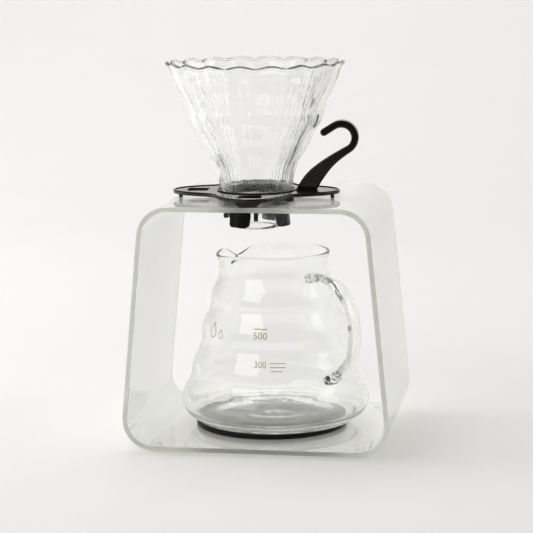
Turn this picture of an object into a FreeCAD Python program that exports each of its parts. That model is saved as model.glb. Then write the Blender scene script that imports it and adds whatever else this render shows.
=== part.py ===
"""Pour-over coffee set: a clear acrylic stand, a glass server on a silicone coaster, and a glass dripper.

Millimetres, +Z up, +X to the right, +Y to the back. The origin is on the surface the set stands on,
under the middle of the whole set. Each function returns one solid; the last lines write one STEP per node.
"""
import FreeCAD, Part
import math
import os

Vector = FreeCAD.Vector
UP = Vector(0, 0, 1)

# ---- driving dimensions -------------------------------------------------------------------------
# stand: one acrylic sheet bent into a closed loop, wider at its foot
bumper_height = 1.8
bumper_radius = 4.5
bumper_contact_radius = 2.4
bumper_x = 66.0
bumper_y = 58.0
sheet = 3.0
stand_height = 156.7
stand_depth = 137.8
stand_half_width_low = 87.2
stand_half_width_high = 72.1
stand_corner_low = 20.0
stand_corner_high = 20.0
stand_edge_round = 0.4
hole_radius = 25.6

# coaster under the server
coaster_radius = 50.0
coaster_thickness = 3.5
coaster_edge_round = 0.8
coaster_centre = Vector(-1.0, 7.0, 0)

# server
server_centre = Vector(1.6, 7.0, 0)
server_wall = 1.9
server_base_thickness = 3.4
server_height = 112.5
server_foot_radius = 50.0
server_floor_radius = 46.0
server_rim_radius = 36.6
server_tiers = [  # (radius, height above the base)
    (54.6, 2.4), (59.4, 6.4), (61.9, 12.0), (62.0, 17.0), (60.4, 22.0), (57.6, 26.6), (55.8, 31.0),
    (55.2, 35.4), (53.6, 41.6), (50.6, 48.4), (48.9, 54.0), (48.6, 60.6), (47.3, 66.6), (44.6, 72.4),
    (42.8, 77.4), (42.4, 82.6), (41.0, 88.0), (38.4, 93.6), (36.7, 99.0), (36.2, 105.0),
]
spout_angle = 199.0
spout_reach = 2.4
spout_root_inset = 0.6
spout_radius_low = 7.0
spout_radius_high = 9.5
spout_depth = 17.0
server_handle_angle = -41.0
strap_path = [  # (distance from the server's axis, height above its base)
    (35.4, 97.8), (53.5, 101.5), (73.2, 89.2), (80.4, 65.4), (73.6, 44.6), (54.0, 32.8),
]
strap_bend = 0.45
strap_width = 9.6
strap_thickness = 5.0
strap_round = 2.0

# dripper
dripper_centre = Vector(-6.2, -15.0, 0)
plate_turn = 3.5
plate_mean_radius = 45.3
plate_lobe = 8.7
plate_thickness = 2.0
plate_stand_off = 3.0
lip_width = 1.3
lip_height = 0.5
plate_edge_round = 0.6
window_inner_radius = 31.0
window_outer_radius = 44.5
window_half_width = 8.0
window_taper = 0.86
window_corner = 1.6
plate_bore_radius = 23.3
seal_seat_radius = 24.6
seal_seat_depth = 1.0
seal_radius = 24.54
seal_proud = 0.4
collar_inner_radius = 24.7
collar_outer_radius = 25.5
collar_height = 0.7
skirt_width_high = 17.5
skirt_width_low = 10.6
skirt_thickness = 2.2
skirt_radius = 51.2
pad_radius = 1.25
pad_plug_radius = 0.8
pad_plug_length = 1.2
pad_from_axis = 49.2
boss_radius = 2.2
boss_height = 2.4
boss_from_axis = 33.6

# cone: a fluted glass funnel in tiers, ending in a straight outlet
flutes = 18
flute_points = 4
cone_height = 81.3
cone_plate_radius = 22.4
cone_plate_slope = 0.40
cone_tiers = [  # (mean radius, height above the plate)
    (23.9, 6.0), (24.8, 11.0), (26.1, 16.0), (28.4, 20.5), (31.6, 26.0), (33.9, 30.5), (36.0, 35.0),
    (39.2, 40.0), (42.0, 44.5), (43.2, 49.0), (43.8, 53.5), (45.6, 58.0), (48.3, 63.0), (50.6, 68.0),
    (52.9, 72.5), (54.0, 76.6), (55.0, 79.2),
]
cone_rim_radius = 56.0
flute_depth_low = 0.3
flute_depth_high = 1.2
cone_wall = 2.0
outlet_radius = 15.2
outlet_bottom_radius = 15.7
outlet_top_drop = 14.6
outlet_drop = 22.8

# retaining ring under the plate, with four guide tabs and four snap claws
ring_inner_radius = 22.9
ring_outer_radius = 24.9
ring_gap = 0.1
ring_height = 2.6
bend_drop = 5.0
bend_inside = 0.4
tab_angle = -112.7
tab_span = 43.0
tab_width = 16.0
tab_taper = 0.9
tab_bury = 0.4
tab_thickness = 1.6
tab_waist_radius = 19.3
tab_waist_drop = 9.6
tab_foot_radius = 21.0
tab_drops = (22.2, 22.2, 22.2, 19.4)
tab_corner = 2.4
claw_angle = -81.6
claw_width = 2.8
claw_thickness = 1.5
claw_inset = 0.2
claw_radius = 20.2
claw_bend_drop = 12.4
claw_drop = 18.0
barb_reach = 1.2
barb_height = 3.0

# hook handle
hook_width = 10.0
hook_edge_round = 1.2
hook_centre = (55.2, 38.9)
hook_inner_radius = 6.4
hook_outer_radius = 11.1
hook_inner_turn = (-57.0, 122.0)
hook_outer_turn = (-52.0, 122.0)
hook_top_turn = 30.0
hook_tip_direction = 212.0
hook_tip_length = 7.6
hook_inner_stem = [  # (distance from the cone's axis, height above the stand)
    (25.7, 5.0), (28.2, 9.4), (32.1, 15.0), (37.4, 20.1), (44.7, 25.3), (52.2, 29.9),
]
hook_outer_stem = [(56.3, 26.1), (50.4, 21.0), (45.7, 15.3), (41.8, 9.5), (39.2, 5.0)]
hook_tenon = 1.2
hook_tenon_length = 10.6
hook_tenon_width = 6.0
hook_tenon_start = 27.2

# the cone overhangs the front, so everything moves back to bring the middle of the set over the origin
frame_shift = Vector(0, 2.05, 0)

# ---- heights worked out from them ---------------------------------------------------------------
stand_floor = bumper_height + sheet
stand_top = bumper_height + stand_height
server_base = stand_floor + coaster_thickness
plate_bottom = stand_top + plate_stand_off
plate_top = plate_bottom + plate_thickness


# ---- helpers ------------------------------------------------------------------------------------
def polar(radius, degrees, height=0.0):
    """A point at a radius and an angle about the origin's vertical axis."""
    angle = math.radians(degrees)
    return Vector(radius * math.cos(angle), radius * math.sin(angle), height)


def rounded_path(points, radii, closed):
    """Straight runs through the points, joined by tangent arcs of the given radii at the corners."""
    count = len(points)
    corners = range(count) if closed else range(1, count - 1)
    starts = {}
    ends = {}
    arcs = {}
    for i in corners:
        corner = points[i]
        back = (points[i - 1] - corner).normalize()
        ahead = (points[(i + 1) % count] - corner).normalize()
        half_turn = (math.pi - back.getAngle(ahead)) / 2
        reach = radii[i] * math.tan(half_turn)
        starts[i] = corner + back * reach
        ends[i] = corner + ahead * reach
        inward = (back + ahead).normalize()
        middle = corner + inward * (radii[i] / math.cos(half_turn) - radii[i])
        arcs[i] = Part.Arc(starts[i], middle, ends[i]).toShape()
    edges = []
    for i in range(count if closed else count - 1):
        after = (i + 1) % count
        here = ends.get(i, points[i])
        there = starts.get(after, points[after])
        edges.append(Part.LineSegment(here, there).toShape())
        if after in arcs:
            edges.append(arcs[after])
    return Part.Wire(edges)


def smooth_edge(points, closed=False):
    """One smooth curve through the points."""
    curve = Part.BSplineCurve()
    curve.interpolate(Points=points, PeriodicFlag=closed)
    return curve.toShape()


def revolved(edges):
    """A full turn of a closed outline, drawn in the XZ plane, about the vertical axis."""
    face = Part.Face(Part.Wire(edges))
    return face.revolve(Vector(0, 0, 0), UP, 360)


def straight_edges(points):
    """The edges of a closed polygon."""
    return Part.makePolygon(points + [points[0]]).Edges


def ring(inner, outer, low, height):
    """A plain ring about the vertical axis."""
    outside = Part.makeCylinder(outer, height, Vector(0, 0, low))
    return outside.cut(Part.makeCylinder(inner, height, Vector(0, 0, low)))


def placed(shape, centre, turn=0.0):
    """A copy turned about the vertical axis and then moved to its centre."""
    copy = shape.copy()
    copy.rotate(Vector(0, 0, 0), UP, turn)
    copy.translate(centre)
    return copy


# ---- stand --------------------------------------------------------------------------------------
def stand_loop():
    """The bent sheet, with the hole that the dripper drops through."""
    low = bumper_height
    high = stand_top
    front = -stand_depth / 2
    corners = [
        Vector(-stand_half_width_low, front, low),
        Vector(stand_half_width_low, front, low),
        Vector(stand_half_width_high, front, high),
        Vector(-stand_half_width_high, front, high),
    ]
    radii = [stand_corner_low, stand_corner_low, stand_corner_high, stand_corner_high]
    outer = rounded_path(corners, radii, True)
    inner = outer.makeOffset2D(-sheet)
    along = Vector(0, stand_depth, 0)
    loop = Part.Face(outer).extrude(along).cut(Part.Face(inner).extrude(along))
    rims = [edge for edge in loop.Edges if edge.BoundBox.YLength < 0.01]
    loop = loop.makeFillet(stand_edge_round, rims)
    hole = Part.makeCylinder(hole_radius, 4 * sheet, dripper_centre + Vector(0, 0, high - 2 * sheet))
    return loop.cut(hole)


def bumper_foot():
    """A clear stick-on bumper: a dome with a flat contact face."""
    shoulder = (bumper_radius + bumper_contact_radius) / 2 + 0.6
    dome = Part.Arc(
        Vector(bumper_contact_radius, 0, 0),
        Vector(shoulder, 0, bumper_height * 0.35),
        Vector(bumper_radius, 0, bumper_height),
    ).toShape()
    edges = [
        Part.LineSegment(Vector(0, 0, 0), Vector(bumper_contact_radius, 0, 0)).toShape(),
        dome,
        Part.LineSegment(Vector(bumper_radius, 0, bumper_height), Vector(0, 0, bumper_height)).toShape(),
        Part.LineSegment(Vector(0, 0, bumper_height), Vector(0, 0, 0)).toShape(),
    ]
    return revolved(edges)


def silicone_coaster():
    """A flat disc with softened edges, lying on the floor of the stand."""
    disc = Part.makeCylinder(coaster_radius, coaster_thickness)
    rims = [e for e in disc.Edges if len(e.Vertexes) == 1]
    disc = disc.makeFillet(coaster_edge_round, rims)
    return placed(disc, coaster_centre + Vector(0, 0, stand_floor))


# ---- server -------------------------------------------------------------------------------------
def server_vessel(inset, floor, foot_radius, overshoot):
    """The filled shape of the server, either its outside or the space inside it."""
    profile = [Vector(radius - inset, 0, height) for radius, height in server_tiers]
    rim = Vector(server_rim_radius - inset, 0, server_height + overshoot)
    side = smooth_edge([Vector(foot_radius, 0, floor)] + profile + [rim])
    top = Vector(0, 0, rim.z)
    edges = [
        Part.LineSegment(Vector(0, 0, floor), Vector(foot_radius, 0, floor)).toShape(),
        side,
        Part.LineSegment(rim, top).toShape(),
        Part.LineSegment(top, Vector(0, 0, floor)).toShape(),
    ]
    return revolved(edges)


def spout_wedge(inset, overshoot):
    """A leaning round cone that pushes the rim outwards at one place."""
    neck_radius = server_tiers[-1][0]
    low = server_height - spout_depth
    axis_low = Vector(neck_radius - spout_radius_low - spout_root_inset, 0, low)
    axis_high = Vector(neck_radius + spout_reach - spout_radius_high, 0, server_height)
    step = (axis_high - axis_low) * (1 / spout_depth)
    top = axis_high + step * overshoot
    widen = (spout_radius_high - spout_radius_low) / spout_depth
    circle_low = Part.Wire(Part.makeCircle(spout_radius_low - inset, axis_low))
    circle_top = Part.Wire(Part.makeCircle(spout_radius_high - inset + widen * overshoot, top))
    return Part.makeLoft([circle_low, circle_top], True, True)


def server_glass():
    """Blown glass body: outside minus inside, each with its spout."""
    outside = server_vessel(0.0, 0.0, server_foot_radius, 0.0)
    outside = outside.fuse(placed(spout_wedge(0.0, 0.0), Vector(), spout_angle))
    hollow = server_vessel(server_wall, server_base_thickness, server_floor_radius, 1.0)
    hollow = hollow.fuse(placed(spout_wedge(server_wall, 1.0), Vector(), spout_angle))
    glass = outside.cut(hollow).removeSplitter()
    return placed(glass, server_centre + Vector(0, 0, server_base))


def server_handle():
    """A flattened glass strap fused to the neck and to the widest tier."""
    points = [Vector(distance, 0, height) for distance, height in strap_path]
    radii = [0.0]
    for i in range(1, len(points) - 1):
        back = points[i - 1] - points[i]
        ahead = points[i + 1] - points[i]
        half_turn = (math.pi - back.getAngle(ahead)) / 2
        radii.append(strap_bend * min(back.Length, ahead.Length) / math.tan(half_turn))
    radii.append(0.0)
    path = rounded_path(points, radii, False)
    along = (points[1] - points[0]).normalize()
    across = Vector(0, 1, 0)
    outward = along.cross(across)
    w = strap_width / 2
    t = strap_thickness / 2
    corners = [
        points[0] + across * side + outward * face
        for side, face in ((-w, -t), (w, -t), (w, t), (-w, t))
    ]
    section = rounded_path(corners, [strap_round] * 4, True)
    strap = Part.Wire(path.Edges).makePipeShell([section], True, True)
    strap = placed(strap, server_centre + Vector(0, 0, server_base), server_handle_angle)
    body = server_vessel(0.0, 0.0, server_foot_radius, 0.0)
    body = placed(body, server_centre + Vector(0, 0, server_base))
    return strap.cut(body)


# ---- dripper ------------------------------------------------------------------------------------
def plate_outline(inset, height):
    """Four lobes: radius = mean + lobe * cos(4 * angle)."""
    points = []
    for degrees in range(0, 360, 5):
        radius = plate_mean_radius + plate_lobe * math.cos(math.radians(4 * degrees)) - inset
        points.append(polar(radius, degrees, height))
    return Part.Wire(smooth_edge(points, True))


def lobed_slab(inset, low, height):
    """The filled plate outline, extruded."""
    return Part.Face(plate_outline(inset, low)).extrude(Vector(0, 0, height))


def window(angle):
    """A sight window through one lobe: a rounded slot across it."""
    corners = [
        Vector(window_inner_radius, -window_half_width * window_taper, plate_bottom - 1),
        Vector(window_outer_radius, -window_half_width, plate_bottom - 1),
        Vector(window_outer_radius, window_half_width, plate_bottom - 1),
        Vector(window_inner_radius, window_half_width * window_taper, plate_bottom - 1),
    ]
    wire = rounded_path(corners, [window_corner] * 4, True)
    return placed(Part.Face(wire).extrude(Vector(0, 0, plate_thickness + 2)), Vector(), angle)


def rest_skirt(angle):
    """A short trapezoid under a lobe, which stands on the acrylic."""
    inner = skirt_radius - skirt_thickness
    outline = straight_edges([
        Vector(inner, -skirt_width_low / 2, stand_top),
        Vector(inner, skirt_width_low / 2, stand_top),
        Vector(inner, skirt_width_high / 2, plate_bottom + 0.2),
        Vector(inner, -skirt_width_high / 2, plate_bottom + 0.2),
    ])
    solid = Part.Face(Part.Wire(outline)).extrude(Vector(skirt_thickness, 0, 0))
    return placed(solid, Vector(), angle)


def base_plate():
    """The black four-lobed plate that carries the cone."""
    plate = lobed_slab(0.0, plate_bottom, plate_thickness + lip_height)
    rims = [edge for edge in plate.Edges if edge.BoundBox.ZLength < 0.01]
    plate = plate.makeFillet(plate_edge_round, rims)
    plate = plate.cut(lobed_slab(lip_width, plate_top, 2 * lip_height))
    plate = plate.fuse(ring(collar_inner_radius, collar_outer_radius, plate_top, collar_height))
    for angle in (-90, 90):
        plate = plate.fuse(rest_skirt(angle))
    for angle in (-45, 135):
        spot = polar(boss_from_axis, angle, plate_bottom - boss_height)
        plate = plate.fuse(Part.makeCylinder(boss_radius, boss_height, spot))
    bore_low = Vector(0, 0, plate_bottom - plate_thickness)
    bore = Part.makeCylinder(plate_bore_radius, 4 * plate_thickness, bore_low)
    plate = plate.cut(bore)
    seat = Part.makeCylinder(seal_seat_radius, 2, Vector(0, 0, plate_top - seal_seat_depth))
    plate = plate.cut(seat)
    for angle in (-90, 90, 180):
        plate = plate.cut(window(angle))
    for angle in (0, 180):
        hole = polar(pad_from_axis, angle, plate_bottom - 0.1)
        plate = plate.cut(Part.makeCylinder(pad_plug_radius, pad_plug_length + 0.1, hole))
    plate = plate.cut(hook_tenon_block())
    return placed(plate.removeSplitter(), dripper_centre, plate_turn)


def foot_pad(angle):
    """A rubber peg pushed into the underside of a lobe."""
    spot = polar(pad_from_axis, angle, stand_top)
    pad = Part.makeCylinder(pad_radius, plate_stand_off, spot)
    plug_top = spot + Vector(0, 0, plate_stand_off)
    pad = pad.fuse(Part.makeCylinder(pad_plug_radius, pad_plug_length, plug_top))
    return placed(pad.removeSplitter(), dripper_centre, plate_turn)


def hook_tenon_block():
    """The block under the handle that sits in a socket in the plate."""
    corner = Vector(hook_tenon_start, -hook_tenon_width / 2, plate_top - hook_tenon)
    return Part.makeBox(hook_tenon_length, hook_tenon_width, hook_tenon, corner)


def hook_point(place):
    """A point of the handle's outline, from (distance from the cone's axis, height above the stand)."""
    return Vector(place[0], 0, stand_top + place[1])


def hook_circle_point(radius, degrees):
    """A point on one of the two circles that the handle curls round."""
    return hook_point(hook_centre) + Vector(radius, 0, 0) * math.cos(math.radians(degrees)) + (
        UP * radius * math.sin(math.radians(degrees))
    )


def hook_handle():
    """A flat bar that rises from the plate and curls back over itself."""
    inner_start, inner_end = [hook_circle_point(hook_inner_radius, turn) for turn in hook_inner_turn]
    outer_end, outer_start = [hook_circle_point(hook_outer_radius, turn) for turn in hook_outer_turn]
    direction = math.radians(hook_tip_direction)
    tail = Vector(math.cos(direction), 0, math.sin(direction))
    tip_in = inner_end + tail * hook_tip_length
    tip_out = outer_start + tail * hook_tip_length
    tip = (tip_in + tip_out) * 0.5 + tail * ((tip_out - tip_in).Length / 2)
    inner_stem = [hook_point(place) for place in hook_inner_stem]
    outer_stem = [outer_end] + [hook_point(place) for place in hook_outer_stem]
    edges = [
        smooth_edge(inner_stem + [inner_start]),
        Part.Arc(inner_start, hook_circle_point(hook_inner_radius, hook_top_turn), inner_end).toShape(),
        Part.LineSegment(inner_end, tip_in).toShape(),
        Part.Arc(tip_in, tip, tip_out).toShape(),
        Part.LineSegment(tip_out, outer_start).toShape(),
        Part.Arc(outer_start, hook_circle_point(hook_outer_radius, hook_top_turn), outer_end).toShape(),
        smooth_edge(outer_stem),
        Part.LineSegment(outer_stem[-1], inner_stem[0]).toShape(),
    ]
    face = Part.Face(Part.Wire(edges))
    bar = face.extrude(Vector(0, hook_width, 0))
    bar.translate(Vector(0, -hook_width / 2, 0))
    sides = [e for e in bar.Edges if e.BoundBox.YLength < 0.01 and e.BoundBox.ZMax > plate_top + 0.5]
    bar = bar.makeFillet(hook_edge_round, sides)
    bar = bar.fuse(hook_tenon_block()).removeSplitter()
    return placed(bar, dripper_centre, plate_turn)


def cone_sections(inset, overshoot):
    """(height above the plate, mean radius, flute depth) of the cone, from the outlet up to the rim.

    The flutes grow deeper evenly with height and fade out towards the outlet.
    """
    sections = [
        (-outlet_drop - overshoot, outlet_bottom_radius - inset, 0.0),
        (-outlet_drop + 4.0, outlet_radius - inset, 0.0),
        (-outlet_top_drop, outlet_radius + 0.5 - inset, 0.0),
        (-6.5, cone_plate_radius - 6.5 * cone_plate_slope - inset, 0.1),
        (0.0, cone_plate_radius - inset, flute_depth_low),
    ]
    for radius, height in cone_tiers:
        depth = flute_depth_low + (flute_depth_high - flute_depth_low) * height / cone_height
        sections.append((height, radius - inset, depth))
    rim = cone_rim_radius + cone_plate_slope * overshoot - inset
    sections.append((cone_height + overshoot, rim, flute_depth_high))
    return sections


def fluted_loft(sections):
    """A solid through closed wavy sections: radius = mean - depth * cos(flutes * angle), so that the X axis
    runs through two of the valleys."""
    wires = []
    count = flutes * flute_points
    for height, mean, depth in sections:
        points = []
        for i in range(count):
            degrees = 360.0 * i / count
            radius = mean - depth * math.cos(math.radians(flutes * degrees))
            points.append(polar(radius, degrees, height))
        wires.append(Part.Wire(smooth_edge(points, True)))
    return Part.makeLoft(wires, True, False)


def cone_glass():
    """The fluted glass funnel, open at the rim and at the outlet."""
    outside = fluted_loft(cone_sections(0.0, 0.0))
    inside = fluted_loft(cone_sections(cone_wall, 1.0))
    return placed(outside.cut(inside), dripper_centre + Vector(0, 0, plate_top))


def seal_ring():
    """The silicone ring that the cone sits in, in the plate's seat."""
    slope = cone_plate_slope
    low = plate_top - seal_seat_depth
    high = plate_top + seal_proud
    clear = cone_plate_radius + 0.5
    edges = straight_edges([
        Vector(clear - slope * seal_seat_depth, 0, low),
        Vector(seal_radius, 0, low),
        Vector(seal_radius, 0, high),
        Vector(clear + slope * seal_proud, 0, high),
    ])
    return placed(revolved(edges), dripper_centre)


def guide_tab(drop):
    """One tab: a curved tongue that follows the cone inwards to its waist and then leans out to a rounded
    foot. Its side outline is turned round the ring's axis, and its front outline trims it."""
    top = -ring_gap - plate_thickness - tab_bury
    lean = (tab_foot_radius - tab_waist_radius) / (tab_drops[0] - tab_waist_drop)
    foot_radius = tab_waist_radius + lean * (drop - tab_waist_drop)
    side = straight_edges([
        Vector(ring_inner_radius, 0, top),
        Vector(ring_inner_radius + tab_thickness, 0, top),
        Vector(ring_inner_radius + tab_thickness, 0, -bend_drop),
        Vector(tab_waist_radius + tab_thickness, 0, -tab_waist_drop),
        Vector(foot_radius + tab_thickness, 0, -drop),
        Vector(foot_radius, 0, -drop),
        Vector(tab_waist_radius, 0, -tab_waist_drop),
        Vector(ring_inner_radius, 0, -bend_drop + bend_inside),
    ])
    curved = Part.Face(Part.Wire(side)).revolve(Vector(0, 0, 0), UP, tab_span)
    curved = placed(curved, Vector(), -tab_span / 2)
    half = tab_width / 2
    outline = [
        Vector(0, -half, top),
        Vector(0, half, top),
        Vector(0, half - tab_taper, -drop),
        Vector(0, -half + tab_taper, -drop),
    ]
    wire = rounded_path(outline, [0.2, 0.2, tab_corner, tab_corner], True)
    return curved.common(Part.Face(wire).extrude(Vector(2 * ring_outer_radius, 0, 0)))


def snap_claw():
    """One claw: a thin finger that follows the cone inwards, with a barb at its end."""
    low = -claw_drop
    top = -ring_gap - plate_thickness
    outer = ring_outer_radius - claw_inset
    outline = straight_edges([
        Vector(ring_inner_radius, 0, top),
        Vector(outer, 0, top),
        Vector(outer, 0, -bend_drop),
        Vector(claw_radius, 0, -claw_bend_drop),
        Vector(claw_radius, 0, low + barb_height),
        Vector(claw_radius + barb_reach, 0, low + barb_height - 1.0),
        Vector(claw_radius + barb_reach - bend_inside, 0, low),
        Vector(claw_radius - claw_thickness, 0, low),
        Vector(claw_radius - claw_thickness, 0, -claw_bend_drop + bend_inside),
        Vector(ring_inner_radius, 0, -bend_drop + bend_inside),
    ])
    finger = Part.Face(Part.Wire(outline)).extrude(Vector(0, claw_width, 0))
    finger.translate(Vector(0, -claw_width / 2, 0))
    return finger


def retaining_ring():
    """The ring under the plate, with its tabs and claws."""
    low = -plate_thickness - ring_gap - ring_height
    body = ring(ring_inner_radius, ring_outer_radius, low, ring_height)
    pieces = []
    for i, drop in enumerate(tab_drops):
        pieces.append(placed(guide_tab(drop), Vector(), tab_angle + 90 * i))
        pieces.append(placed(snap_claw(), Vector(), claw_angle + 90 * i))
    return placed(body.fuse(pieces).removeSplitter(), dripper_centre + Vector(0, 0, plate_top))


# ---- export -------------------------------------------------------------------------------------
def main():
    os.makedirs("parts", exist_ok=True)
    nodes = {
        "stand_loop": stand_loop(),
        "silicone_coaster": silicone_coaster(),
        "server_glass": server_glass(),
        "server_handle": server_handle(),
        "base_plate": base_plate(),
        "hook_handle": hook_handle(),
        "foot_pad_left": foot_pad(180),
        "foot_pad_right": foot_pad(0),
        "cone_glass": cone_glass(),
        "seal_ring": seal_ring(),
        "retaining_ring": retaining_ring(),
    }
    for side, x in (("left", -bumper_x), ("right", bumper_x)):
        for end, y in (("front", -bumper_y), ("back", bumper_y)):
            nodes["bumper_foot_" + end + "_" + side] = placed(bumper_foot(), Vector(x, y, 0))
    for name, shape in nodes.items():
        solid = placed(shape.Solids[0], frame_shift)
        print(name, len(shape.Solids), solid.isValid(), round(solid.Volume), len(solid.Faces))
        solid.exportStep("parts/" + name + ".step")


main()
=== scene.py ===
"""Looks of the pour-over coffee set: blown and pressed glass, bent acrylic, black plastic and silicone.

Metres, +Z up, +X to the right, +Y to the back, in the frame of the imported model. Heights of the server are
counted from its base, and heights of the cone from the top of the plate.
"""
import math

import bpy
import numpy as np
from mathutils import Matrix, Vector


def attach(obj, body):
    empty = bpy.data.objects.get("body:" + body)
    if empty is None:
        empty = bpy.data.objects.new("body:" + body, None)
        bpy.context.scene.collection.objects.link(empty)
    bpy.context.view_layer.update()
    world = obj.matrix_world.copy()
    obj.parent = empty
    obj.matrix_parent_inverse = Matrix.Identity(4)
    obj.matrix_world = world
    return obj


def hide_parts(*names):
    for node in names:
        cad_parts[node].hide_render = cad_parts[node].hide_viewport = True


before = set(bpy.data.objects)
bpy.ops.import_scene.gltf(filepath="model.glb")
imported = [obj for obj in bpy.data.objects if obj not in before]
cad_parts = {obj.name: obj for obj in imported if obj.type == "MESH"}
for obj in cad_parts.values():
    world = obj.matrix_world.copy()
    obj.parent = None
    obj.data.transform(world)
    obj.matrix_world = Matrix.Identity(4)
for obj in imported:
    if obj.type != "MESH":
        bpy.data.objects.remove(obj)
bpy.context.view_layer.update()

MM = 0.001
TURN = 2 * math.pi

# ---- places and sizes, in millimetres ---------------------------------------------------------------
server_centre = (1.6, 9.05)
server_base = 8.3
server_wall = 1.9
server_foot_thickening = 1.6
server_thickened_to = 9.0
server_floor = 3.4
server_floor_mound = 1.1
server_floor_mound_spread = 17.0
server_fillet_height = 3.4
server_rim_height = 112.5
server_rim_bead = 1.3
server_outline = [  # (radius, height above the base) from the foot to under the rim
    (50.0, 0.0), (52.6, 0.9), (54.6, 2.4), (59.4, 6.4), (61.9, 12.0), (62.0, 17.0), (60.4, 22.0),
    (57.6, 26.6), (55.8, 31.0), (55.2, 35.4), (53.6, 41.6), (50.6, 48.4), (48.9, 54.0), (48.6, 60.6),
    (47.3, 66.6), (44.6, 72.4), (42.8, 77.4), (42.4, 82.6), (41.0, 88.0), (38.4, 93.6), (36.7, 99.0),
    (36.2, 105.0), (36.5, 111.2),
]
server_rows_per_span = 7
server_columns = 240
foot_hollow = (30.0, 46.0)  # the radii between which the foot's hollow runs out
lip_rise_power = 1.6
pinch_rise_power = 1.3

spout_angle = 206.0
spout_reach = 2.2
spout_drop = 1.2
spout_spread = 26.0
pinch_angle = 156.5
pinch_spread_back = 30.0
pinch_spread_spout = 7.5
pinch_in = 6.0
pinch_down = 5.2
spout_root = 92.0
foot_dome = 0.8
foot_lift = 0.06
swirl_height = 0.16
swirl_pitch = 3.1

handle_angle = -41.0
handle_width = 9.6
handle_thickness = 5.0
handle_power = 2.6
handle_end_round = 0.5
handle_flare = 0.34
handle_flare_length = 6.0
handle_polygon = [  # (distance from the server's axis, height above its base)
    (37.0, 98.1), (53.5, 101.5), (73.2, 89.2), (80.4, 65.4), (73.6, 44.6), (55.2, 33.5),
]

stand_middle = 2.05
stand_depth = 137.8
sawn_edge = 0.5
sawn_edge_blur = 0.1

cone_centre = (-6.2, -12.95)
plate_top = 163.5
cone_outline = [  # (mean radius, height above the plate) from the outlet to under the rim
    (15.7, -22.8), (15.2, -18.8), (15.7, -14.6), (19.8, -6.5), (22.4, 0.0), (23.9, 6.0), (24.8, 11.0),
    (26.1, 16.0), (28.4, 20.5), (31.6, 26.0), (33.9, 30.5), (36.0, 35.0), (39.2, 40.0), (42.0, 44.5),
    (43.2, 49.0), (43.8, 53.5), (45.6, 58.0), (48.3, 63.0), (50.6, 68.0), (52.9, 72.5), (54.0, 76.6),
    (55.0, 79.0), (55.8, 80.2),
]
flutes = 18
flute_sharpness = 2.6
flute_valley = 0.03
flute_depth_low = 0.3
flute_deepening = 0.9
flute_full_height = 80.0
flute_inside_share = 0.6
ribs = 4 * flutes
rib_height = 0.11
columns_per_flute = 36
cone_wall = 2.0
cone_bead = 1.35
rim_wave = 0.8

print_gap = 0.05
print_line = 0.5
print_widths = (10.4, 10.4, 7.8)
print_spacing = 2.4


# ---- curves and surfaces ------------------------------------------------------------------------------
def smooth_through(points, per_span):
    """A curve through all the points: each span is the cubic that leaves its two ends along the line
    between their neighbours."""
    p = np.asarray(points, float)
    tangent = np.gradient(p, axis=0)
    t = np.linspace(0, 1, per_span, endpoint=False)[None, :, None]
    a, b, ta, tb = p[:-1, None], p[1:, None], tangent[:-1, None], tangent[1:, None]
    curve = (
        (2 * t**3 - 3 * t**2 + 1) * a + (t**3 - 2 * t**2 + t) * ta
        + (3 * t**2 - 2 * t**3) * b + (t**3 - t**2) * tb
    )
    return np.vstack([curve.reshape(-1, p.shape[1]), p[-1:]])


def rounded_polygon(points, per_corner):
    """The parabolas that touch each run of a polygon at its middle, one for each inner corner."""
    p = np.asarray(points, float)
    middle = (p[:-1] + p[1:]) / 2
    middle[0], middle[-1] = p[0], p[-1]
    t = np.linspace(0, 1, per_corner, endpoint=False)[None, :, None]
    curve = (1 - t) ** 2 * middle[:-1, None] + 2 * t * (1 - t) * p[1:-1, None] + t**2 * middle[1:, None]
    return np.vstack([curve.reshape(-1, p.shape[1]), middle[-1:]])


def offset_inwards(curve, distance):
    """Each point of a (radius, height) curve moved along its normal, to the left of its direction."""
    direction = np.gradient(curve, axis=0)
    direction /= np.linalg.norm(direction, axis=1, keepdims=True)
    normal = np.stack([-direction[:, 1], direction[:, 0]], axis=1)
    return curve + normal * np.broadcast_to(distance, (len(curve),))[:, None]


def half_round(start, end, count):
    """Points on the half circle that bulges upwards from start to end, without the two ends."""
    start, end = np.asarray(start, float), np.asarray(end, float)
    middle, arm = (start + end) / 2, (start - end) / 2
    up = np.array([-arm[1], arm[0]])
    up *= np.sign(up[1])
    angle = np.linspace(0, math.pi, count + 2)[1:-1, None]
    return middle + arm * np.cos(angle) + up * np.sin(angle)


def surface(name, rows, poles=(None, None), wrap_rows=False):
    """A mesh over a grid of points (rows x columns x 3, in millimetres), closed round its columns.

    A pole is one point that closes the first or the last row; wrap_rows joins the last row to the first.
    """
    count, columns = rows.shape[:2]
    vertices = rows.reshape(-1, 3)
    last = count if wrap_rows else count - 1
    i, j = np.meshgrid(np.arange(last), np.arange(columns), indexing="ij")
    i2, j2 = (i + 1) % count, (j + 1) % columns
    faces = np.stack([i * columns + j, i * columns + j2, i2 * columns + j2, i2 * columns + j], -1)
    faces = faces.reshape(-1, 4).tolist()
    around = np.arange(columns)
    for pole, row, forward in ((poles[0], 0, False), (poles[1], count - 1, True)):
        if pole is not None:
            apex = len(vertices)
            vertices = np.vstack([vertices, np.asarray(pole, float)[None]])
            ring, after = row * columns + around, row * columns + (around + 1) % columns
            pair = (ring, after) if forward else (after, ring)
            faces += np.stack([*pair, np.full(columns, apex)], -1).tolist()
    mesh = bpy.data.meshes.new(name)
    mesh.from_pydata((vertices * MM).tolist(), [], faces)
    if signed_volume(mesh) < 0:
        mesh.flip_normals()
    mesh.polygons.foreach_set("use_smooth", np.ones(len(mesh.polygons), bool))
    mesh.validate()
    return add_object(name, mesh)


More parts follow.
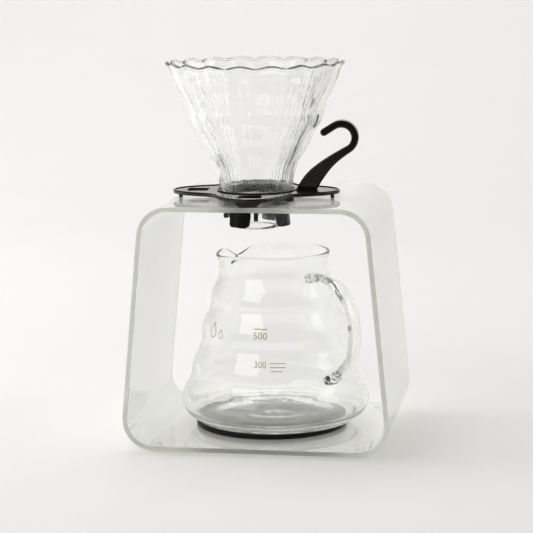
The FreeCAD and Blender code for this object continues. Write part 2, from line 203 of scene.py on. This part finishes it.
def signed_volume(mesh):
    """Six times the volume that the faces enclose: positive where they point outwards."""
    mesh.calc_loop_triangles()
    corners = np.zeros(len(mesh.loop_triangles) * 3, np.int32)
    mesh.loop_triangles.foreach_get("vertices", corners)
    points = np.zeros(len(mesh.vertices) * 3)
    mesh.vertices.foreach_get("co", points)
    a, b, c = points.reshape(-1, 3)[corners.reshape(-1, 3)].transpose(1, 0, 2)
    return float(np.einsum("ij,ij->i", a, np.cross(b, c)).sum())


def add_object(name, mesh):
    piece = bpy.data.objects.new(name, mesh)
    bpy.context.scene.collection.objects.link(piece)
    return piece


def bell(offset, spread):
    """The bell curve exp(-(offset / spread)^2), with both in degrees and the offset wrapped."""
    wrapped = (offset + 180.0) % 360.0 - 180.0
    return np.exp(-((wrapped / spread) ** 2))


def ramp(x, low, high):
    """0 below low, 1 above high, and the smooth step 3t^2 - 2t^3 between."""
    t = np.clip((x - low) / (high - low), 0, 1)
    return t * t * (3 - 2 * t)


# ---- glass pieces -------------------------------------------------------------------------------------
def server_body():
    """The blown server: its outline offset by the wall, joined by a bead at the rim and turned round the
    axis. Near the rim the radius grows by a bell at the spout and shrinks by a bell at the pinch beside it,
    which is steeper on the spout's side; the rim dips at both, and both grow with the height over the
    spout's root. The foot is slightly hollow, and rings run through the inner floor like a cosine wave."""
    outer = smooth_through(server_outline, server_rows_per_span)
    thickness = server_wall + server_foot_thickening * (1 - ramp(outer[:, 1], 0.0, server_thickened_to))
    inner = offset_inwards(outer, thickness)
    inner = inner[inner[:, 1] > server_floor + server_fillet_height][::-1]
    bead = half_round(outer[-1], inner[0], 9)
    bead += (bead - (outer[-1] + inner[0]) / 2) * (server_rim_bead / server_wall) * 0.3
    foot_radius = np.linspace(2.0, 48.5, 24)
    foot = np.stack([foot_radius, foot_dome * (1 - ramp(foot_radius, *foot_hollow)) + foot_lift], 1)
    corner = inner[-1]
    fillet = [(0.0, corner[1]), (2.0, server_floor + 1.5), (5.2, server_floor + 0.4), (9.5, server_floor)]
    floor_curve = smooth_through([(corner[0] - inwards, level) for inwards, level in fillet], 5)[1:]
    floor_in = np.linspace(floor_curve[-1][0] - 1.2, 1.2, 40)
    swirl = swirl_height * np.cos(floor_in / swirl_pitch) * ramp(30.0 - floor_in, 0.0, 22.0)
    mound = server_floor_mound * np.exp(-((floor_in / server_floor_mound_spread) ** 2))
    floor = np.stack([floor_in, server_floor + mound + swirl], 1)
    profile = np.vstack([foot, outer, bead, inner, floor_curve, floor])
    radius, height = profile[:, :1], profile[:, 1:]
    degrees = np.linspace(0, 360, server_columns, endpoint=False)[None, :]
    grow = ramp(height, spout_root, server_rim_height) ** lip_rise_power
    lip = grow * bell(degrees - spout_angle, spout_spread)
    pinch_spread = np.where(degrees < pinch_angle, pinch_spread_back, pinch_spread_spout)
    pinch = grow**pinch_rise_power * bell(degrees - pinch_angle, pinch_spread)
    radius = radius + spout_reach * lip - pinch_in * pinch
    height = height - spout_drop * lip - pinch_down * pinch
    angle = np.radians(degrees)
    cx, cy = server_centre
    rows = np.stack(
        [cx + radius * np.cos(angle), cy + radius * np.sin(angle), server_base + height + 0 * angle], -1
    )
    low = (cx, cy, server_base + foot_dome + foot_lift)
    high = (cx, cy, server_base + server_floor + server_floor_mound + swirl_height)
    return surface("server_blown_glass", rows, (low, high))


def server_strap():
    """The strap handle: a flattened oval (a superellipse) carried along the rounded polygon. Its size
    grows by a bell towards both ends, where it melts into the wall, and each end closes in like a
    quarter circle."""
    path = rounded_polygon(handle_polygon, 22)
    run = np.concatenate([[0], np.cumsum(np.linalg.norm(np.diff(path, axis=0), axis=1))])
    length = run[-1]
    run_even = np.linspace(0, length, 110)
    path = np.stack([np.interp(run_even, run, path[:, k]) for k in (0, 1)], 1)
    direction = np.gradient(path, axis=0)
    direction /= np.linalg.norm(direction, axis=1, keepdims=True)
    normal = np.stack([-direction[:, 1], direction[:, 0]], 1)
    from_end = np.minimum(run_even, length - run_even)
    swell = 1 + handle_flare * np.exp(-((from_end / handle_flare_length) ** 2))
    close = np.sqrt(np.clip(1 - (1 - np.clip(from_end / handle_end_round, 0, 1)) ** 2, 0.02, 1))
    turn = np.linspace(0, TURN, 44, endpoint=False)
    power = 2 / handle_power
    across = np.sign(np.cos(turn)) * np.abs(np.cos(turn)) ** power * handle_width / 2
    out = np.sign(np.sin(turn)) * np.abs(np.sin(turn)) ** power * handle_thickness / 2
    size = (swell * close)[:, None]
    rho = path[:, :1] + normal[:, :1] * out * size
    height = path[:, 1:] + normal[:, 1:] * out * size
    side = across[None] * size
    azimuth = math.radians(handle_angle)
    cx, cy = server_centre
    x = cx + rho * math.cos(azimuth) - side * math.sin(azimuth)
    y = cy + rho * math.sin(azimuth) + side * math.cos(azimuth)
    rows = np.stack([x, y, server_base + height], -1)
    return surface("server_glass_strap", rows, (rows[0].mean(0), rows[-1].mean(0)))


def cone_body():
    """The fluted funnel: its outline offset by the wall and joined by a bead at the rim. Over the outline,
    the outside stands out in lobes, 1 - sharpness (1 - |sin|) of half the flute angle with their valleys a
    little rounded, which grow deeper evenly with height; the inside follows them less deeply and has four
    times as many fine ribs, which are highest near the plate. The rim's height waves with the flutes."""
    outer = smooth_through(cone_outline, 3)
    inner = offset_inwards(outer, cone_wall)[::-1]
    bead = half_round(outer[-1], inner[0], 11)
    centre = (outer[-1] + inner[0]) / 2
    bead = centre + (bead - centre) * (cone_bead / (cone_wall / 2))
    foot = outer[0] + inner[-1] - half_round(outer[0], inner[-1], 5)
    profile = np.vstack([outer, bead, inner, foot])
    outside = np.concatenate([
        np.ones(len(outer)), np.linspace(1, 0, len(bead)),
        np.zeros(len(inner)), np.linspace(0, 1, len(foot)),
    ])[:, None]
    radius, height = profile[:, :1], profile[:, 1:]
    angle = np.linspace(0, TURN, flutes * columns_per_flute, endpoint=False)[None, :]
    wave = np.sqrt((np.sin(flutes * angle / 2) ** 2 + flute_valley) / (1 + flute_valley))
    lobe = 1 - flute_sharpness * (1 - wave)
    rise = np.clip(height, 0, flute_full_height) / flute_full_height
    depth = ramp(height, -10.0, 0.0) * (flute_depth_low + flute_deepening * rise)
    fading = ramp(height, -14.0, -8.0) * (0.35 + 0.65 * (1 - ramp(height, 4.0, 26.0)))
    rib = rib_height * np.cos(ribs * angle) * fading * (1 - ramp(height, 66.0, 78.0))
    share = flute_inside_share + (1 - flute_inside_share) * outside
    radius = radius + depth * lobe * share + rib * (1 - outside)
    height = height - rim_wave * ramp(height, 62.0, 78.0) ** 2 * np.cos(flutes * angle)
    cx, cy = cone_centre
    rows = np.stack(
        [cx + radius * np.cos(angle), cy + radius * np.sin(angle), plate_top + height + 0 * angle], -1
    )
    return surface("cone_pressed_glass", rows, wrap_rows=True)


# ---- printed marks on the server ----------------------------------------------------------------------
def server_radius_at(height):
    outline = smooth_through(server_outline, server_rows_per_span)
    return np.interp(height, outline[:, 1], outline[:, 0])


def wrap_on_server(mesh, degrees, height):
    """Bends a flat mesh (x along the print, y up it, in millimetres) round the outside of the server: x
    becomes an angle, x over the radius, and each point stands a hair's breadth off the glass."""
    flat = np.zeros(len(mesh.vertices) * 3)
    mesh.vertices.foreach_get("co", flat)
    flat = flat.reshape(-1, 3)
    level = height + flat[:, 1]
    radius = server_radius_at(level) + print_gap + flat[:, 2]
    angle = math.radians(degrees) + flat[:, 0] / radius
    cx, cy = server_centre
    placed = np.stack([cx + radius * np.cos(angle), cy + radius * np.sin(angle), server_base + level], 1)
    mesh.vertices.foreach_set("co", (placed * MM).ravel())
    mesh.update()


def printed_figures(name, text, size, degrees, height):
    """Figures as a thin printed film, bent round the glass."""
    curve = bpy.data.curves.new(name, "FONT")
    curve.body = text
    curve.size = size
    curve.align_x = "CENTER"
    curve.align_y = "CENTER"
    curve.resolution_u = 4
    typed = bpy.data.objects.new(name, curve)
    mesh = bpy.data.meshes.new_from_object(typed)
    bpy.data.objects.remove(typed)
    wrap_on_server(mesh, degrees, height)
    return add_object(name, mesh)


def printed_band(name, outline, thickness, degrees, height, closed):
    """A printed line of even thickness along an outline of (x, y) points, bent round the glass."""
    p = np.asarray(outline, float)
    if closed:
        direction = np.roll(p, -1, 0) - np.roll(p, 1, 0)
    else:
        direction = np.gradient(p, axis=0)
    direction /= np.linalg.norm(direction, axis=1, keepdims=True)
    side = np.stack([-direction[:, 1], direction[:, 0]], 1) * thickness / 2
    count = len(p)
    vertices = np.zeros((2 * count, 3))
    vertices[:count, :2], vertices[count:, :2] = p + side, p - side
    i = np.arange(count if closed else count - 1)
    k = (i + 1) % count
    mesh = bpy.data.meshes.new(name)
    mesh.from_pydata(vertices.tolist(), [], np.stack([i, i + count, k + count, k], -1).tolist())
    wrap_on_server(mesh, degrees, height)
    return add_object(name, mesh)


def drop_outline(width, tall):
    """A water drop: a circle whose x narrows by the sine of half its turn, so that it ends in a point."""
    t = np.linspace(0, TURN, 64, endpoint=False)
    return np.stack([width / 2 * np.sin(t) * np.sin(t / 2) ** 1.4, tall / 2 * np.cos(t)], 1)


def printed_bar(name, width, degrees, height):
    """A short level line, in enough pieces to follow the glass."""
    x = np.linspace(-width / 2, width / 2, 9)
    return printed_band(name, np.stack([x, 0 * x], 1), print_line, degrees, height, False)


def server_prints():
    """A large and a small drop, two volume figures, a line over the upper one and three beside the
    lower one."""
    marks = [
        printed_band("print_large_drop", drop_outline(8.4, 9.2), 0.75, -137.0, 64.6, True),
        printed_band("print_small_drop", drop_outline(5.0, 5.6), 0.65, -127.5, 62.8, True),
        printed_figures("print_figures_500", "500", 6.4, -92.3, 63.7),
        printed_bar("print_line_over_500", 8.4, -92.3, 68.2),
        printed_figures("print_figures_300", "300", 5.6, -91.7, 45.8),
    ]
    for row, width in enumerate(print_widths):
        degrees = -78.9 - (max(print_widths) - width) / 2
        marks.append(printed_bar(f"print_level_{row}", width, degrees, 46.9 - print_spacing * row))
    return marks


# ---- node helpers ------------------------------------------------------------------------------------
def new_group(name, inputs, outputs):
    group = bpy.data.node_groups.new(name, "ShaderNodeTree")
    for label, kind, value in inputs:
        socket = group.interface.new_socket(label, in_out="INPUT", socket_type=kind)
        if value is not None:
            socket.default_value = value
    for label, kind in outputs:
        group.interface.new_socket(label, in_out="OUTPUT", socket_type=kind)
    return group, group.nodes.new("NodeGroupInput"), group.nodes.new("NodeGroupOutput")


def noise(tree, vector, scale, detail=4.0, roughness=0.5):
    node = tree.nodes.new("ShaderNodeTexNoise")
    node.inputs["Scale"].default_value = scale
    node.inputs["Detail"].default_value = detail
    node.inputs["Roughness"].default_value = roughness
    tree.links.new(vector, node.inputs["Vector"])
    return node.outputs["Fac"]


def remap(tree, value, from_low, from_high, to_low, to_high):
    node = tree.nodes.new("ShaderNodeMapRange")
    tree.links.new(value, node.inputs["Value"])
    for label, number in (("From Min", from_low), ("From Max", from_high)):
        node.inputs[label].default_value = number
    for label, number in (("To Min", to_low), ("To Max", to_high)):
        if isinstance(number, float):
            node.inputs[label].default_value = number
        else:
            tree.links.new(number, node.inputs[label])
    return node.outputs["Result"]


def stretched(tree, vector, scale):
    node = tree.nodes.new("ShaderNodeMapping")
    node.inputs["Scale"].default_value = scale
    tree.links.new(vector, node.inputs["Vector"])
    return node.outputs["Vector"]


def handled_surface():
    """Finger smudges and dust: how rough a smooth surface has become, and how much it is dulled."""
    group, into, out = new_group(
        "handled surface",
        [("Vector", "NodeSocketVector", None), ("Clean", "NodeSocketFloat", 0.02),
         ("Smudged", "NodeSocketFloat", 0.08)],
        [("Roughness", "NodeSocketFloat"), ("Dust", "NodeSocketFloat")],
    )
    vector = into.outputs["Vector"]
    smudge = noise(group, vector, 38.0, 5.0, 0.6)
    roughness = remap(group, smudge, 0.45, 0.72, into.outputs["Clean"], into.outputs["Smudged"])
    specks = remap(group, noise(group, vector, 900.0, 2.0, 0.5), 0.68, 0.78, 0.0, 1.0)
    group.links.new(roughness, out.inputs["Roughness"])
    group.links.new(specks, out.inputs["Dust"])
    return group


def moulded_grain():
    """The fine grain that a mould leaves, as a height and as a faint change of colour."""
    group, into, out = new_group(
        "moulded grain",
        [("Vector", "NodeSocketVector", None), ("Scale", "NodeSocketFloat", 900.0)],
        [("Height", "NodeSocketFloat"), ("Tone", "NodeSocketFloat")],
    )
    fine = group.nodes.new("ShaderNodeTexNoise")
    group.links.new(into.outputs["Vector"], fine.inputs["Vector"])
    group.links.new(into.outputs["Scale"], fine.inputs["Scale"])
    fine.inputs["Detail"].default_value = 3.0
    broad = noise(group, into.outputs["Vector"], 30.0, 3.0)
    group.links.new(fine.outputs["Fac"], out.inputs["Height"])
    group.links.new(remap(group, broad, 0.35, 0.65, 0.0, 1.0), out.inputs["Tone"])
    return group


SMUDGES = handled_surface()
GRAIN = moulded_grain()


def place_group(tree, group, vector, **values):
    node = tree.nodes.new("ShaderNodeGroup")
    node.node_tree = group
    tree.links.new(vector, node.inputs["Vector"])
    for label, number in values.items():
        node.inputs[label].default_value = number
    return node


def new_material(name):
    """A material with its Principled shader and the object's own coordinates."""
    material = bpy.data.materials.new(name)
    material.use_nodes = True
    tree = material.node_tree
    shader = tree.nodes["Principled BSDF"]
    coordinates = tree.nodes.new("ShaderNodeTexCoord").outputs["Object"]
    return material, tree, shader, coordinates


def blend_colours(tree, factor, low, high):
    node = tree.nodes.new("ShaderNodeMix")
    node.data_type = "RGBA"
    tree.links.new(factor, node.inputs["Factor"])
    node.inputs["A"].default_value = (*low, 1)
    node.inputs["B"].default_value = (*high, 1)
    return node.outputs["Result"]


def bump(tree, shader, height, strength, distance):
    node = tree.nodes.new("ShaderNodeBump")
    node.inputs["Strength"].default_value = strength
    node.inputs["Distance"].default_value = distance
    tree.links.new(height, node.inputs["Height"])
    tree.links.new(node.outputs["Normal"], shader.inputs["Normal"])


def let_light_through(material, tree, shader, colour):
    """Shadow rays pass straight through the clear material, tinted, so that it casts a light shadow."""
    path = tree.nodes.new("ShaderNodeLightPath")
    clear = tree.nodes.new("ShaderNodeBsdfTransparent")
    clear.inputs["Color"].default_value = (*colour, 1)
    mix = tree.nodes.new("ShaderNodeMixShader")
    tree.links.new(path.outputs["Is Shadow Ray"], mix.inputs["Fac"])
    tree.links.new(shader.outputs["BSDF"], mix.inputs[1])
    tree.links.new(clear.outputs["BSDF"], mix.inputs[2])
    tree.links.new(mix.outputs["Shader"], tree.nodes["Material Output"].inputs["Surface"])


def absorb(tree, colour, density):
    node = tree.nodes.new("ShaderNodeVolumeAbsorption")
    node.inputs["Color"].default_value = (*colour, 1)
    node.inputs["Density"].default_value = density
    tree.links.new(node.outputs["Volume"], tree.nodes["Material Output"].inputs["Volume"])


# ---- materials ---------------------------------------------------------------------------------------
def glass(name, streaks, streak_height, tint, density):
    """Borosilicate glass: clear, with soft drawn streaks in its surface and faint smudges."""
    material, tree, shader, where = new_material(name)
    shader.inputs["Transmission Weight"].default_value = 1.0
    shader.inputs["IOR"].default_value = 1.473
    smudges = place_group(tree, SMUDGES, where, Clean=0.0, Smudged=0.012)
    tree.links.new(smudges.outputs["Roughness"], shader.inputs["Roughness"])
    tone = blend_colours(tree, smudges.outputs["Dust"], (1.0, 1.0, 1.0), (0.93, 0.94, 0.93))
    tree.links.new(tone, shader.inputs["Base Color"])
    bump(tree, shader, noise(tree, stretched(tree, where, streaks), 1.0, 3.0), 1.0, streak_height)
    absorb(tree, tint, density)
    let_light_through(material, tree, shader, (0.985, 0.987, 0.983))
    return material


def clear_acrylic():
    """Bent acrylic: faintly milky, and a little wavy from the bending. Its cut edges at the front and at
    the back are sawn and satin, and show the grey-green of the sheet."""
    material, tree, shader, where = new_material("clear acrylic")
    shader.inputs["Transmission Weight"].default_value = 0.74
    shader.inputs["IOR"].default_value = 1.49
    smudges = place_group(tree, SMUDGES, where, Clean=0.02, Smudged=0.09)
    edge = cut_edge(tree, where)
    satin = remap(tree, edge, 0.0, 1.0, smudges.outputs["Roughness"], 0.42)
    tree.links.new(satin, shader.inputs["Roughness"])
    face = blend_colours(tree, smudges.outputs["Dust"], (0.935, 0.935, 0.92), (0.86, 0.86, 0.84))
    node = tree.nodes.new("ShaderNodeMix")
    node.data_type = "RGBA"
    tree.links.new(edge, node.inputs["Factor"])
    tree.links.new(face, node.inputs["A"])
    saw = noise(tree, stretched(tree, where, (160.0, 2600.0, 160.0)), 1.0, 3.0)
    tree.links.new(blend_colours(tree, saw, (0.74, 0.76, 0.71), (0.82, 0.835, 0.79)), node.inputs["B"])
    tree.links.new(node.outputs["Result"], shader.inputs["Base Color"])
    waves = noise(tree, stretched(tree, where, (70.0, 70.0, 9.0)), 1.0, 2.0)
    bump(tree, shader, waves, 0.3, 0.0002)
    absorb(tree, (0.84, 0.87, 0.79), 3.0)
    let_light_through(material, tree, shader, (0.70, 0.70, 0.68))
    return material


def cut_edge(tree, where):
    """1 within the sawn edge of the stand's front and back planes, and 0 elsewhere."""
    parts = tree.nodes.new("ShaderNodeSeparateXYZ")
    tree.links.new(where, parts.inputs["Vector"])
    from_middle = tree.nodes.new("ShaderNodeMath")
    from_middle.operation = "SUBTRACT"
    tree.links.new(parts.outputs["Y"], from_middle.inputs[0])
    from_middle.inputs[1].default_value = stand_middle * MM
    distance = tree.nodes.new("ShaderNodeMath")
    distance.operation = "ABSOLUTE"
    tree.links.new(from_middle.outputs["Value"], distance.inputs[0])
    line = stand_depth / 2 - sawn_edge
    low, high = (line - sawn_edge_blur / 2) * MM, (line + sawn_edge_blur / 2) * MM
    return remap(tree, distance.outputs["Value"], low, high, 0.0, 1.0)


def clear_silicone():
    """The stick-on bumpers: soft clear silicone with a little haze."""
    material, tree, shader, where = new_material("clear silicone")
    shader.inputs["Transmission Weight"].default_value = 0.85
    shader.inputs["IOR"].default_value = 1.41
    grain = place_group(tree, GRAIN, where, Scale=1400.0)
    tone = blend_colours(tree, grain.outputs["Tone"], (0.93, 0.94, 0.94), (0.86, 0.87, 0.87))
    tree.links.new(tone, shader.inputs["Base Color"])
    tree.links.new(remap(tree, grain.outputs["Tone"], 0.0, 1.0, 0.08, 0.16), shader.inputs["Roughness"])
    bump(tree, shader, grain.outputs["Height"], 0.2, 0.00003)
    let_light_through(material, tree, shader, (0.9, 0.9, 0.9))
    return material


def black_plastic():
    """Injection-moulded black plastic, polished in the mould, with a soft sheen and faint smudges."""
    material, tree, shader, where = new_material("black gloss plastic")
    shader.inputs["IOR"].default_value = 1.53
    shader.inputs["Specular IOR Level"].default_value = 0.32
    smudges = place_group(tree, SMUDGES, where, Clean=0.06, Smudged=0.15)
    grain = place_group(tree, GRAIN, where, Scale=2200.0)
    tree.links.new(smudges.outputs["Roughness"], shader.inputs["Roughness"])
    tone = blend_colours(tree, grain.outputs["Tone"], (0.0055, 0.005, 0.0045), (0.0095, 0.0085, 0.0075))
    tree.links.new(tone, shader.inputs["Base Color"])
    bump(tree, shader, grain.outputs["Height"], 0.12, 0.00003)
    return material


def black_silicone():
    """The coaster: matt black silicone with a fine grain and a dusting of lint."""
    material, tree, shader, where = new_material("black silicone")
    shader.inputs["Specular IOR Level"].default_value = 0.14
    grain = place_group(tree, GRAIN, where, Scale=1100.0)
    smudges = place_group(tree, SMUDGES, where, Clean=0.42, Smudged=0.62)
    tree.links.new(smudges.outputs["Roughness"], shader.inputs["Roughness"])
    tone = blend_colours(tree, smudges.outputs["Dust"], (0.009, 0.0085, 0.008), (0.05, 0.047, 0.043))
    tree.links.new(tone, shader.inputs["Base Color"])
    bump(tree, shader, grain.outputs["Height"], 0.3, 0.00005)
    return material


def black_rubber():
    """The pegs and the seal: softer and duller than the plastic round them."""
    material, tree, shader, where = new_material("black rubber")
    grain = place_group(tree, GRAIN, where, Scale=1600.0)
    tone = blend_colours(tree, grain.outputs["Tone"], (0.012, 0.012, 0.012), (0.024, 0.023, 0.022))
    tree.links.new(tone, shader.inputs["Base Color"])
    tree.links.new(remap(tree, grain.outputs["Tone"], 0.0, 1.0, 0.5, 0.68), shader.inputs["Roughness"])
    bump(tree, shader, grain.outputs["Height"], 0.3, 0.00004)
    return material


def gold_print():
    """Tan-gold printing ink, a little worn, so that it is thin in places."""
    material, tree, shader, where = new_material("gold print")
    grain = place_group(tree, GRAIN, where, Scale=2600.0)
    tone = blend_colours(tree, grain.outputs["Height"], (0.40, 0.31, 0.16), (0.54, 0.44, 0.26))
    tree.links.new(tone, shader.inputs["Base Color"])
    tree.links.new(remap(tree, grain.outputs["Tone"], 0.0, 1.0, 0.4, 0.6), shader.inputs["Roughness"])
    tree.links.new(remap(tree, grain.outputs["Height"], 0.3, 0.5, 0.75, 1.0), shader.inputs["Alpha"])
    return material


# ---- the object ----------------------------------------------------------------------------------------
def put(piece, material, body=None, replaced=()):
    """Gives a piece its one material, attaches a new piece to its body, and hides the imported nodes it
    stands in for.
    """
    piece.data.materials.clear()
    piece.data.materials.append(material)
    if body:
        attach(piece, body)
    if replaced:
        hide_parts(*replaced)


blown_glass = glass("blown glass", (60.0, 60.0, 260.0), 0.00006, (0.80, 0.90, 0.78), 6.0)
pressed_glass = glass("pressed glass", (420.0, 420.0, 35.0), 0.00010, (0.80, 0.86, 0.70), 8.0)
plastic = black_plastic()
rubber = black_rubber()
ink = gold_print()

put(server_body(), blown_glass, "server", ["server_glass"])
put(server_strap(), blown_glass, "server", ["server_handle"])
put(cone_body(), pressed_glass, "cone", ["cone_glass"])
for mark in server_prints():
    put(mark, ink, "server")

finishes = {
    "stand_loop": clear_acrylic(),
    "silicone_coaster": black_silicone(),
    "base_plate": plastic,
    "hook_handle": plastic,
    "retaining_ring": plastic,
    "foot_pad_left": rubber,
    "foot_pad_right": rubber,
    "seal_ring": rubber,
}
bumper_silicone = clear_silicone()
for side in ("front_left", "front_right", "back_left", "back_right"):
    finishes["bumper_foot_" + side] = bumper_silicone
for node, finish in finishes.items():
    put(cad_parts[node], finish)


# ---- studio ----------------------------------------------------------------------------------------------
def studio_sweep():
    """The floor and the wall as one sheet: flat in front, a quarter circle behind, then straight up."""
    radius, half_width, front, back, top = 1100.0, 2200.0, -1700.0, 900.0, 1500.0
    bend = np.linspace(0, math.pi / 2, 40)
    y = np.concatenate([np.linspace(front, back, 12)[:-1], back + radius * np.sin(bend), [back + radius]])
    z = np.concatenate([np.zeros(11), radius * (1 - np.cos(bend)), [top]])
    x = np.linspace(-half_width, half_width, 9)
    count, columns = len(y), len(x)
    grid = np.zeros((count, columns, 3))
    grid[..., 0], grid[..., 1], grid[..., 2] = x[None], y[:, None], z[:, None]
    i, j = np.meshgrid(np.arange(count - 1), np.arange(columns - 1), indexing="ij")
    corner = (i * columns + j).reshape(-1)
    faces = np.stack([corner, corner + 1, corner + columns + 1, corner + columns], -1)
    mesh = bpy.data.meshes.new("studio_sweep")
    mesh.from_pydata((grid.reshape(-1, 3) * MM).tolist(), [], faces.tolist())
    mesh.polygons.foreach_set("use_smooth", np.ones(len(mesh.polygons), bool))
    sweep = add_object("studio_sweep", mesh)
    material, tree, shader, where = new_material("white paper")
    tone = blend_colours(tree, noise(tree, where, 14.0, 5.0), (0.83, 0.826, 0.82), (0.85, 0.846, 0.84))
    tree.links.new(tone, shader.inputs["Base Color"])
    shader.inputs["Roughness"].default_value = 0.75
    shader.inputs["Specular IOR Level"].default_value = 0.15
    mesh.materials.append(material)


def softbox(name, place, aim, size, radiance, colour=(1.0, 1.0, 1.0), mirrored=True):
    """A rectangular lamp of an even radiance, which faces the point it is aimed at. One that isn't
    mirrored lights the set, but leaves no patch of its own on glossy or clear surfaces."""
    lamp = bpy.data.lights.new(name, "AREA")
    lamp.shape = "RECTANGLE"
    lamp.size, lamp.size_y = size
    lamp.energy = radiance * math.pi * size[0] * size[1]
    lamp.color = colour
    light = bpy.data.objects.new(name, lamp)
    bpy.context.scene.collection.objects.link(light)
    light.location = place
    light.visible_glossy = light.visible_transmission = mirrored
    light.rotation_euler = (Vector(place) - Vector(aim)).to_track_quat("Z", "Y").to_euler()


def studio_light():
    # the left window is two lamps in one place, so that its patches on the glass stay soft
    window = dict(
        place=(-0.80, -1.15, 0.90), aim=(0, 0, 0.10), size=(1.00, 0.90), colour=(1.0, 0.995, 0.98),
    )
    softbox("window_left", radiance=1.7, **window)
    softbox("window_haze", radiance=1.5, mirrored=False, **window)
    softbox("window_right", (1.25, -0.05, 0.80), (0, 0, 0.12), (0.50, 0.80), 2.6, (0.98, 0.99, 1.0))
    softbox("panel_left", (-1.70, 0.15, 0.66), (0, 0.1, 0.1), (1.2, 0.7), 8.6, mirrored=False)
    softbox("panel_right", (1.8, 0.7, 0.9), (0, 0.2, 0.2), (2.0, 1.4), 0.9)
    softbox("overhead", (-0.3, 0.45, 1.8), (0, 0.1, 0.0), (1.4, 1.0), 3.1)
    softbox("behind", (0.0, 1.0, 1.75), (0.0, 2.0, 0.6), (2.4, 0.5), 2.6)
    world = bpy.data.worlds.new("studio air")
    world.use_nodes = True
    world.node_tree.nodes["Background"].inputs["Color"].default_value = (1.0, 0.93, 0.80, 1)
    world.node_tree.nodes["Background"].inputs["Strength"].default_value = 0.07
    bpy.context.scene.world = world


def studio_camera():
    """The camera on its line of sight: so far from the point it aims at, seen from above and from the
    right, and leaned a little."""
    azimuth, elevation, lean = (math.radians(a) for a in (9.48, 9.39, -0.57))
    distance = 1.3104
    aim = Vector((-2.57, 2.05, 110.69)) * MM
    right = Vector((math.cos(azimuth), math.sin(azimuth), 0.0))
    level_back = Vector((math.sin(azimuth), -math.cos(azimuth), 0.0))
    back = level_back * math.cos(elevation) + Vector((0.0, 0.0, math.sin(elevation)))
    up = back.cross(right)
    leaned_right = right * math.cos(lean) + up * math.sin(lean)
    leaned_up = up * math.cos(lean) - right * math.sin(lean)
    lens = bpy.data.cameras.new("camera")
    lens.lens = 134.84
    lens.sensor_width = 36.0
    lens.clip_start, lens.clip_end = 0.05, 20.0
    camera = bpy.data.objects.new("camera", lens)
    bpy.context.scene.collection.objects.link(camera)
    turn = Matrix((leaned_right, leaned_up, back)).transposed()
    camera.matrix_world = Matrix.Translation(aim + back * distance) @ turn.to_4x4()
    bpy.context.scene.camera = camera


studio_sweep()
studio_light()
studio_camera()
bpy.context.scene.view_settings.view_transform = "Standard"
cycles = bpy.context.scene.cycles
cycles.max_bounces = 32
cycles.glossy_bounces = 24
cycles.transmission_bounces = 24
cycles.transparent_max_bounces = 32
